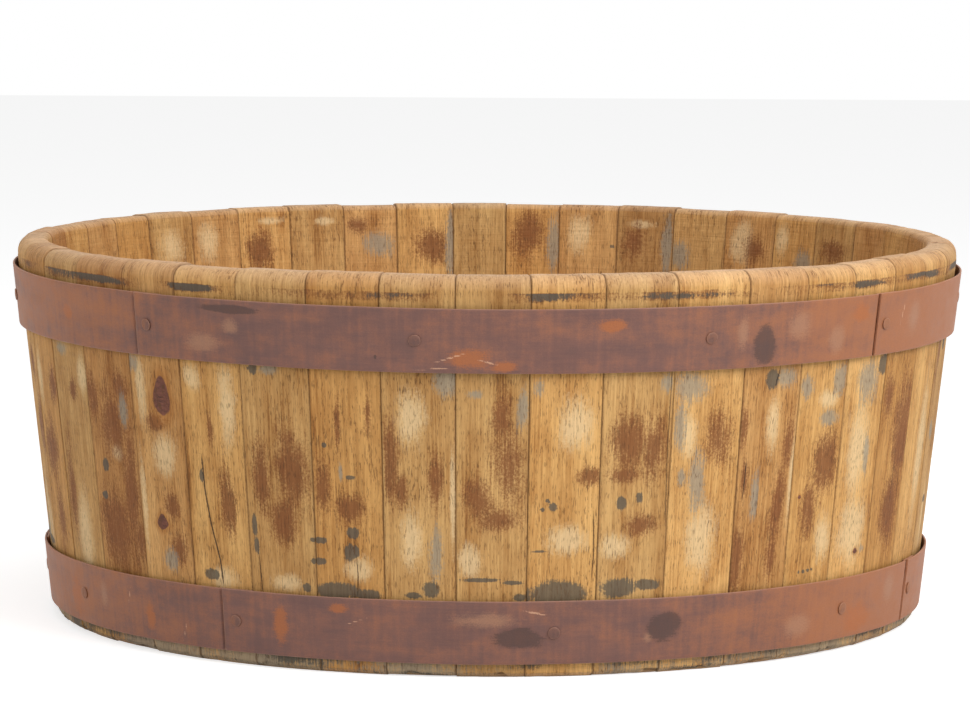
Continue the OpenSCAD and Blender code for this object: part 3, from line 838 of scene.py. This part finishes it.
def tip(h, points):
    """Turns points about X and then about Y by the hoop's tip, and lifts them to its height."""
    a, b = np.radians(h["tip"][0]), np.radians(h["tip"][1])
    x, y, z = points[..., 0], points[..., 1], points[..., 2]
    y, z = y * np.cos(a) - z * np.sin(a), y * np.sin(a) + z * np.cos(a)
    x, z = x * np.cos(b) + z * np.sin(b), -x * np.sin(b) + z * np.cos(b)
    return np.stack([x, y, z + h["z"]], -1)


# How far the top of a strip's left end has opened to the right, in mm, by hoop and strip
LAP_OPEN = {("upper", 1): 0.8, ("lower", 1): 3.2, ("lower", 0): 0.5}
LAP_OPEN_LEAST, LAP_WEAR, LAP_SHIFT, LAP_LIFT = 0.2, 0.35, 0.35, 0.25
STRIP_EASE, STRIP_EDGE_IN = 0.6, 0.18
STRIP_WAVE, STRIP_DENTS, STRIP_EDGE_WAVE = 0.22, 0.05, 0.30
NOISE_SEED = {"upper": 50, "lower": 60}
# A mark on a hoop is (azimuth, height above its middle, half width, half height, lean)
HOOP_MARKS = {
    "upper": {
        "smear": [
            (-34, -10, 22, 10, 0), (-30, 4, 10, 8, 0), (38, 6, 16, 14, 0), (44, -8, 12, 16, 0),
            (60, 2, 14, 18, 0), (30, 2, 7, 16, 0),
        ],
        "orange": [
            (-2, -14, 20, 10, 0), (-58, 2, 10, 8, 0), (14, 12, 16, 6, 0), (2, -20, 12, 5, 0),
            (48, 12, 14, 10, 0),
        ],
        "scratch": [
            (-4, -13, 14, 1.1, 34), (0, -16, 9, 1.0, -25), (-14, -2, 1.2, 1.2, 0),
            (57, 8, 1.0, 14, 30), (-6, -22, 16, 0.8, 6),
        ],
        "dark": [(-12.5, -14, 1.6, 2.0, 0), (33, -8, 12, 18, 0), (-30, 18, 30, 4, 0)],
    },
    "lower": {
        "smear": [
            (-56, 4, 8, 14, 0), (42, -8, 20, 12, 0), (20, -6, 5, 5, 0), (0, 10, 30, 8, 0),
            (62, 8, 14, 16, 0),
        ],
        "orange": [
            (-25.5, 0, 8, 20, 4), (-46, -8, 7, 14, 3), (54, -10, 26, 14, 0), (-18, 16, 10, 5, 0),
            (-64, -4, 16, 18, 0),
        ],
        "scratch": [
            (-16, 6, 12, 0.9, 40), (-40, -14, 0.9, 10, 30), (-50, 8, 0.9, 9, 30),
            (6, 16, 10, 0.9, -20),
        ],
        "dark": [(4, -4, 22, 10, 0), (22, 2, 16, 14, 0)],
    },
}


def hoop_fields(which, turn, y, h):
    """Marks of one hoop, 1 in the middle and 0 on the outline, and how warm its colour is round the tub: real
    orange rust with painted light, lighter and warmer towards the sides and most on the right, where the key
    light falls.
    """
    fields = {}
    radius = hoop_out_r(h)
    for kind, marks in HOOP_MARKS[which].items():
        field = np.full(turn.shape, NO_MARK)
        for az, level, wide, high, lean in marks:
            dx = (np.radians((turn - az + 180) % 360 - 180) * radius - lean * (y - level) / 100) / wide
            dy = (y - level - (lean * dx * wide / 100 if wide > high else 0)) / high
            field = np.maximum(field, 1 - np.sqrt(dx * dx + dy * dy))
        fields[kind] = field
    # painted light over real rust: the colour stays darker and cooler at the front, which faces the camera,
    # and turns lighter and warmer towards both sides, sooner and more on the right, where the key light falls
    signed = (turn + 180) % 360 - 180
    side = np.abs(signed)
    warm = np.where(signed > 0, smooth(12, 62, side), smooth(20, 70, side) * 0.75)
    fields["warm"] = warm * 0.9 + 0.12 * cloud(turn / 9, y / 12, 0, 41)
    return fields


def strip_section(half):
    """The strip's section as (height, depth) below its outer face: flat faces with rounded edges."""
    e, turned, deep = STRIP_EASE, half - STRIP_EASE * 0.3, HOOP_T - STRIP_EDGE_IN
    face = np.linspace(-half + e, half - e, 31)
    top = [(turned, STRIP_EDGE_IN), (half, e), (half, HOOP_T - e), (turned, deep)]
    foot = [(-turned, deep), (-half, HOOP_T - e), (-half, e), (-turned, STRIP_EDGE_IN)]
    outline = [(v, 0.0) for v in face] + top + [(v, HOOP_T) for v in face[::-2]] + foot
    return (np.array(outline)[:, n][:, None] for n in range(2))


def make_strip(which, k):
    """Strip k of a hoop: its section carried round the wall, with its right end tucked under the next."""
    h = HOOPS[which]
    seed = NOISE_SEED[which]
    half = HOOP_W * np.cos(WALL_ANGLE) / 2
    az0 = strip_az(h, k)
    az1 = strip_az(h, k + 1) - turn_of(h, LAP_JOINT)
    step_az = az1 - turn_of(h, STEP_LEN)
    tuck_az = az1 + turn_of(h, LAP_JOINT + LAP_LEN)
    main = np.linspace(az0, step_az, int((step_az - az0) / turn_of(h, 2.0)))
    step, tuck = np.linspace(step_az, az1, 9)[1:], np.linspace(az1, tuck_az, 12)[1:]
    turn = np.concatenate([main, step, tuck])[None, :]
    y, depth = strip_section(half)
    along = np.radians(turn) * hoop_out_r(h)
    from_end = np.radians(turn - az0) * hoop_out_r(h)
    opened = LAP_OPEN.get((which, k), LAP_OPEN_LEAST) * smooth(-half, half, y)
    ragged = LAP_WEAR * cloud(0 * y + k * 3.3, y / 4, 0, seed + 1) + opened
    shift = turn_of(h, 1.0) * (ragged + LAP_SHIFT) * smooth(7, 0, from_end)
    lift = LAP_LIFT * smooth(10, 0, from_end)
    stepped = (HOOP_T + LAP_CLEAR) * smooth(step_az, az1, turn)
    wave = STRIP_WAVE * (1 + cloud(along / 110, y / 45, 0 * y, seed + 2))
    wave = wave + STRIP_DENTS * (1 + cloud(along / 14, y / 12, 0 * y, seed + 3))
    edge_wave = STRIP_EDGE_WAVE * cloud(along / 70, np.sign(y) * 3, 0 * y, seed + 4)
    edge_wave = edge_wave * smooth(0.5, 1.0, np.abs(y) / half)
    r = hoop_out_r(h) + SLOPE * y - depth - stepped - wave + lift
    a = np.radians(turn + shift)
    points = tip(h, np.stack([r * np.sin(a), -r * np.cos(a), y + edge_wave + 0 * a], -1))
    shape = points.shape[:2]
    fields = hoop_fields(which, turn + 0 * y, y + 0 * turn, h)
    outer_face = (depth < HOOP_T / 2) + 0 * turn > 0
    for key in ("smear", "orange", "scratch", "dark"):
        fields[key] = np.where(outer_face, fields[key], NO_MARK)
    # painted shade: the inner face and the inward half of the edges, which face the wall across the gap, all
    # take the dark colour at 0.8
    fields["dark"] = np.maximum(fields["dark"], np.where(outer_face, NO_MARK, 0.8))
    fields["grain_mm"] = np.stack([along + 0 * y, y + 0 * along, np.full(shape, seed + k * 9.7)], -1)
    edge = np.minimum(half - np.abs(y) + 0 * turn, np.abs(from_end) + 0 * y)
    fields["edge_mm"] = edge + 0.25 * depth
    rows, columns = shape
    first = np.arange(rows) * columns
    last = np.arange(rows)[::-1] * columns + columns - 1
    faces = tube_quads(rows, columns)[:, ::-1]
    name = f"rusted_{which}_hoop_{k + 1}"
    piece = solid(name, points, faces, (first[::-1], last[::-1]), at_points(fields, shape))
    return dress(piece, HOOP_IRON, "hoop_iron", f"{which}_hoop_strip_{k + 1}")


def off_seams(h, az):
    """Azimuth az, moved off the seams of the stave that it falls on."""
    turned = (az - SEAMS[0]) % 360 + SEAMS[0]
    i = np.searchsorted(SEAMS, turned, side="right") - 1
    room = turn_of(h, NAIL_SEAM_IN)
    return np.clip(turned, SEAMS[i] + room, SEAMS[i + 1] - room)


def nail_azimuths(h):
    """A nail near each strip's left end and two more, or one in the middle of the short closing strip."""
    places = []
    for k in range(STRIP_COUNT):
        start, end = strip_az(h, k), strip_az(h, k + 1)
        places.append(start + turn_of(h, NAIL_IN))
        more = h["nails"] if k < STRIP_COUNT - 1 else ((end - start) / 2,)
        places += [off_seams(h, start + t) for t in more]
    return places


# A nail's outline from its point to the middle of its head, as (radius, height over the iron)
NAIL_OUTLINE = np.array([
    (0.45, -22.0), (1.1, -19.5), (1.8, -16.0), (1.8, -6.0), (1.8, 0.0),
    (3.2, 0.05), (4.7, 0.08), (4.97, 0.25), (5.0, 0.55), (4.85, 0.85),
    (4.45, 1.08), (3.6, 1.22), (2.4, 1.30), (1.2, 1.34), (0.4, 1.35),
])
NAIL_SIDES = 28
NAIL_UNROUND, NAIL_TILT = 0.035, 0.12


def make_nails(which, rng):
    """Nails of a hoop: each is its outline turned about its own axis, driven square to the iron.

    Its head is beaten a little out of round and tilted."""
    h = HOOPS[which]
    points, quads, caps, grain, warm = [], [], [], [], []
    rows = len(NAIL_OUTLINE)
    around = 2 * np.pi * np.arange(NAIL_SIDES) / NAIL_SIDES
    lean = np.pi / 2 + WALL_ANGLE
    i, j = np.meshgrid(np.arange(rows - 1), np.arange(NAIL_SIDES), indexing="ij")
    side, following = i * NAIL_SIDES + j, i * NAIL_SIDES + (j + 1) % NAIL_SIDES
    faces = np.stack([side, following, following + NAIL_SIDES, side + NAIL_SIDES], -1).reshape(-1, 4)
    for n, az in enumerate(nail_azimuths(h)):
        squeeze = NAIL_UNROUND * (1 + np.sin(2 * around + rng.uniform(0, 6)))
        radius = NAIL_OUTLINE[:, :1] * (1 - squeeze * (NAIL_OUTLINE[:, :1] > 3))
        sink = NAIL_TILT * (1 + np.sin(around + rng.uniform(0, 6)))
        level = NAIL_OUTLINE[:, 1:] - sink * (NAIL_OUTLINE[:, 1:] > 0.5)
        flat_x, flat_y = radius * np.cos(around), radius * np.sin(around)
        z = level + 0 * radius
        x, z = flat_x * np.cos(lean) + z * np.sin(lean), -flat_x * np.sin(lean) + z * np.cos(lean)
        x = x + hoop_out_r(h)
        a = np.radians(az - 90)
        driven = [x * np.cos(a) - flat_y * np.sin(a), x * np.sin(a) + flat_y * np.cos(a), z]
        points.append(tip(h, np.stack(driven, -1)).reshape(-1, 3))
        base = n * rows * NAIL_SIDES
        quads.append(faces + base)
        caps.append(base + np.arange(NAIL_SIDES)[::-1])
        caps.append(base + (rows - 1) * NAIL_SIDES + np.arange(NAIL_SIDES))
        shade = np.full(flat_x.size, n * 7.7)
        grain.append(np.stack([flat_x.ravel(), flat_y.ravel(), shade], -1))
        # each nail takes the hoop's warm field at its azimuth: real rust with painted light, lighter and
        # warmer towards the lit sides
        here = hoop_fields(which, np.array([az]), np.array([0.0]), h)["warm"][0]
        warm.append(np.full(flat_x.size, float(here)))
    grain = np.concatenate(grain)
    bare = np.full(len(grain), NO_MARK)
    fields = {
        "grain_mm": grain,
        "warm": np.concatenate(warm),
        "edge_mm": np.abs(np.hypot(grain[:, 0], grain[:, 1]) - 4.6) + 0.3,
        "smear": np.full(len(grain), -0.2),
        "orange": bare,
        "scratch": bare,
        "dark": bare,
    }
    name = f"rusted_{which}_nails"
    piece = solid(name, np.concatenate(points), np.concatenate(quads), caps, fields)
    return dress(piece, NAIL_IRON, "nail_iron", f"{which}_hoop_nails")


for which in HOOPS:
    for number in range(STRIP_COUNT):
        make_strip(which, number)
    make_nails(which, rng)

# ---- the dowels stay as the CAD model has them: turned beech pins, pale, with fine grain along Y ----
DOWEL_WOOD, tree = new_material("turned_beech_dowels")
place = add(tree, "TexCoord").outputs["Object"]
place = add(tree, "VectorMath", {0: place, 1: (1200.0, 60.0, 1200.0)}, operation="MULTIPLY").outputs[0]
fine = add(tree, "TexNoise", {"Vector": place, "Scale": 1.0, "Detail": 3.0}).outputs[0]
tone = add(tree, "Mix", {0: fine, 6: linear("#d9bb8e"), 7: linear("#b8935f")}, data_type="RGBA").outputs[2]
bump = add(tree, "Bump", {"Strength": 0.4, "Distance": 0.0002, "Height": fine})
shader = add(tree, "BsdfPrincipled", {"Base Color": tone, "Roughness": 0.6, "Normal": bump.outputs[0]})
add(tree, "OutputMaterial", {"Surface": shader.outputs[0]})
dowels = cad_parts["head_dowels"]
dowels.data.materials.clear()
dowels.data.materials.append(DOWEL_WOOD)


# ---- floor, light and camera ----
def placed(name, data, turn=None, at=None):
    """Links an object to the scene, with the columns of turn as its axes, at a place in metres."""
    made = bpy.data.objects.new(name, data)
    if turn is not None:
        rows = [(*row, p) for row, p in zip(np.stack(turn, 1), at)]
        made.matrix_world = Matrix(rows + [(0, 0, 0, 1)])
    bpy.context.scene.collection.objects.link(made)
    return made


def seen_rays(tree):
    """1 for rays that see the studio, straight or in a reflection, and 0 for those that only carry light."""
    path = add(tree, "LightPath").outputs
    seen = path["Is Camera Ray"]
    for ray in ("Is Glossy Ray", "Is Transmission Ray"):
        seen = add(tree, "Math", {0: seen, 1: path[ray]}, operation="MAXIMUM").outputs[0]
    return seen


FLOOR_HALF = 9.0
FLOOR_GLOW, AMBIENT = 0.62, 0.42
floor_mesh = bpy.data.meshes.new("studio_floor")
corners = [(x * FLOOR_HALF, y * FLOOR_HALF, 0) for x, y in ((-1, -1), (1, -1), (1, 1), (-1, 1))]
floor_mesh.from_pydata(corners, [], [(0, 1, 2, 3)])
floor = placed("studio_floor", floor_mesh)
FLOOR_PAPER, tree = new_material("white_floor_paper")
glow = add(tree, "Math", {0: seen_rays(tree), 1: FLOOR_GLOW}, operation="MULTIPLY")
paper = add(tree, "BsdfDiffuse", {"Color": linear("#d8d8d8")})
light = add(tree, "Emission", {"Color": (1, 1, 1, 1), "Strength": glow.outputs[0]})
both = add(tree, "AddShader", {0: paper.outputs[0], 1: light.outputs[0]})
add(tree, "OutputMaterial", {"Surface": both.outputs[0]})
floor_mesh.materials.append(FLOOR_PAPER)

world = bpy.data.worlds.new("studio_room")
bpy.context.scene.world = world
world.use_nodes = True
tree = world.node_tree
tree.nodes.clear()
level = add(tree, "MapRange", {"Value": seen_rays(tree), "To Min": AMBIENT, "To Max": 1.0})
room = add(tree, "Background", {"Color": (1, 1, 1, 1), "Strength": level.outputs[0]})
add(tree, "OutputWorld", {"Surface": room.outputs[0]})

# A soft box is (name, azimuth, elevation, distance, width, height, watts), aimed at the tub's middle
SOFT_BOXES = (
    ("key_from_right", 48.0, 34.0, 3.2, 2.2, 1.6, 62.0),
    ("fill_from_left", -40.0, 22.0, 3.6, 2.4, 1.6, 26.0),
    ("top_box", 10.0, 78.0, 3.0, 2.6, 2.6, 26.0),
)
AIM = np.array([0, 0, 0.16])
for name, azimuth, elevation, distance, wide, high, watts in SOFT_BOXES:
    lamp = bpy.data.lights.new(name, "AREA")
    lamp.shape, lamp.size, lamp.size_y, lamp.energy = "RECTANGLE", wide, high, watts
    a, b = np.radians(azimuth), np.radians(elevation)
    out = np.array([np.sin(a) * np.cos(b), -np.cos(a) * np.cos(b), np.sin(b)])
    side = np.array([np.cos(a), np.sin(a), 0])
    placed(name, lamp, (side, np.cross(out, side), out), AIM + out * distance)

# The camera's place and turn were fitted to the rim, the hoops and the foot in the photograph
CAMERA_AT = (-0.001325, -3.9493, 0.6259)
PITCH_DOWN, ROLL = 0.1055, 0.0054
LENS_MM, SENSOR_MM, FAR_CLIP = 172.56, 36.0, 60.0
camera = bpy.data.cameras.new("camera")
camera.lens, camera.sensor_width, camera.clip_end = LENS_MM, SENSOR_MM, FAR_CLIP
ahead = np.array([0, np.cos(PITCH_DOWN), -np.sin(PITCH_DOWN)])
level_right, level_up = np.array([1.0, 0, 0]), np.array([0, np.sin(PITCH_DOWN), np.cos(PITCH_DOWN)])
right = level_right * np.cos(ROLL) + level_up * np.sin(ROLL)
up = level_up * np.cos(ROLL) - level_right * np.sin(ROLL)
bpy.context.scene.camera = placed("camera", camera, (right, up, -ahead), CAMERA_AT)
bpy.context.scene.view_settings.view_transform = "Standard"
